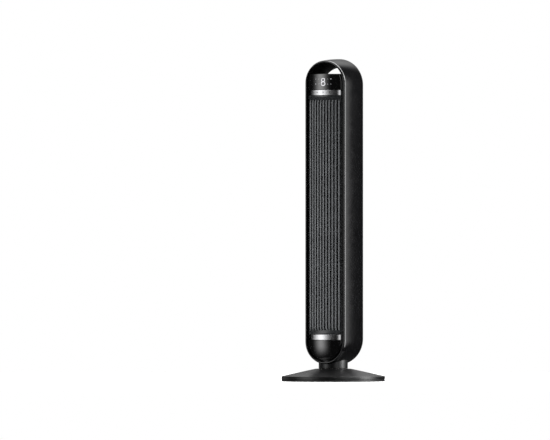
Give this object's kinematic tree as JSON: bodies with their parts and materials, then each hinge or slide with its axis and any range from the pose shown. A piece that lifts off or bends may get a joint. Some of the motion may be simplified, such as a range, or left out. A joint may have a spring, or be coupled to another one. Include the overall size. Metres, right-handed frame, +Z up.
{
  "type": "tower fan",
  "caption": "Oscillating tower fan: pill-shaped tower with a handle opening and a cross-flow impeller behind vertical slats, turning on a round weighted base.",
  "frame": {"origin": "centre of the base on the floor, on the swivel axis", "axes": "+Z up, the air outlet faces -Y, +X is to the right of a person who looks at the outlet"},
  "size_m": [0.347, 0.347, 1.08],
  "materials": {
    "shell_plastic": "satin black moulding",
    "rear_plastic": "fine textured black moulding",
    "base_plastic": "satin black moulding",
    "piano_black": "polished black",
    "silver_trim": "brushed silver",
    "grille_plastic": "satin dark grey",
    "inner_plastic": "matt black",
    "impeller_plastic": "matt dark grey",
    "gear_plastic": "natural acetal",
    "rubber": "matt",
    "zinc_steel": "zinc plated",
    "spring_steel": "blackened",
    "shaft_steel": "ground",
    "hub_aluminium": "turned",
    "ballast_iron": "as cast",
    "bronze": "sintered",
    "circuit_board": "solder mask",
    "led_module": "matt grey"
  },
  "bodies": {
    "base": {"base_plate": "rear_plastic", "base_cover": "base_plastic", "ballast_ring": "ballast_iron", "rubber_feet": "rubber", "base_screws": "zinc_steel", "pivot_post": "zinc_steel", "pivot_screws": "zinc_steel", "glide_ring": "gear_plastic", "thrust_washer": "shaft_steel", "post_circlip": "spring_steel", "swing_motor": "zinc_steel", "swing_motor_screws": "zinc_steel", "cord_gland": "rubber"},
    "pinion": {"drive_pinion": "gear_plastic", "pinion_shaft": "shaft_steel"},
    "tower": {"swivel_hub": "inner_plastic", "swivel_gear": "gear_plastic", "gear_circlip": "spring_steel", "neck_collar": "base_plastic", "neck_screws": "zinc_steel", "outer_shell": "shell_plastic", "handle_liner": "rear_plastic", "inner_housing": "inner_plastic", "rear_cover": "rear_plastic", "handle_surround": "rear_plastic", "rear_grille": "rear_plastic", "rear_screws": "zinc_steel", "display_lens": "piano_black", "control_band": "silver_trim", "front_grille": "grille_plastic", "lower_band": "silver_trim", "lower_dome": "piano_black", "board_carrier": "inner_plastic", "display_board": "circuit_board", "display_led": "led_module", "touch_board": "circuit_board", "power_board": "circuit_board", "board_screws": "zinc_steel", "duct_scroll": "inner_plastic", "duct_tongue": "inner_plastic", "motor_mount": "inner_plastic", "fan_motor": "zinc_steel", "motor_grommets": "rubber", "motor_screws": "zinc_steel", "bearing_bracket": "inner_plastic", "upper_bearing": "bronze"},
    "impeller": {"impeller_wheel": "impeller_plastic", "impeller_hub": "hub_aluminium", "impeller_axle": "shaft_steel", "motor_shaft": "shaft_steel"}
  },
  "joints": [
    {"name": "oscillation", "type": "hinge", "parent": "base", "child": "tower", "pos_m": [0, 0, 0.042], "axis": [0, 0, 1], "range_deg": [-45, 45]},
    {"name": "pinion_turn", "type": "hinge", "parent": "base", "child": "pinion", "pos_m": [0, 0.05645, 0.028], "axis": [0, 0, 1], "range_deg": [-185, 185]},
    {"name": "impeller_spin", "type": "hinge", "parent": "tower", "child": "impeller", "pos_m": [0, 0, 0.55], "axis": [0, 0, 1], "continuous": true}
  ],
  "couplings": [
    {"joint": "pinion_turn", "follows": "oscillation", "ratio": -4}
  ]
}
